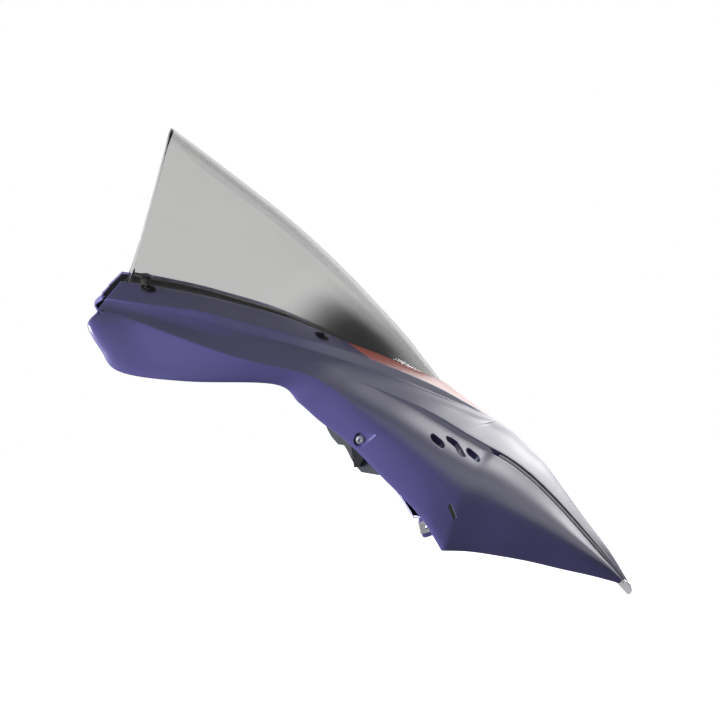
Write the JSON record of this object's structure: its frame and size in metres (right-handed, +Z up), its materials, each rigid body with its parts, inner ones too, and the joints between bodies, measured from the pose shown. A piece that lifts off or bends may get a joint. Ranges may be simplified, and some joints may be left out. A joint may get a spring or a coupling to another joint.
{
  "type": "motorcycle windscreen with upper cowl",
  "caption": "Smoked motorcycle windscreen in its pointed nose cowl, with rear ears, mirror openings, clear lens strips and a hidden front stay.",
  "frame": {"origin": "centre of the four-hole bolt pattern on the rear face of the front stay, in the middle plane", "axes": "+X forward to the nose, +Y to the rider's left, +Z up; symmetric about Y = 0 but for the lower tab, its clip and the spur of the stay, which are on the right only"},
  "size_m": [0.6559, 0.447, 0.5675],
  "materials": {
    "cowl_plastic": "satin indigo violet, with a red band painted round the foot of the screen",
    "smoked_screen": "smoked clear acrylic",
    "clear_lens": "clear",
    "black_foam": "matt",
    "black_steel": "black",
    "black_plastic": "matt",
    "black_rubber": "matt",
    "brass": "turned",
    "bright_steel": "zinc plated",
    "stay_paint": "satin black",
    "tray_plastic": "matt dark grey"
  },
  "bodies": {
    "root": {"cowl": "cowl_plastic", "windscreen": "smoked_screen", "nose_lens": "clear_lens", "rear_pads": "black_foam", "front_pads": "black_foam", "screen_screws": "black_steel", "screen_washers": "black_plastic", "well_nuts": "black_rubber", "well_nut_inserts": "brass", "side_screws": "bright_steel", "side_nuts": "bright_steel", "front_stay": "stay_paint", "inner_tray": "tray_plastic", "tray_rivets": "black_plastic", "edge_clips": "bright_steel"}
  },
  "joints": []
}
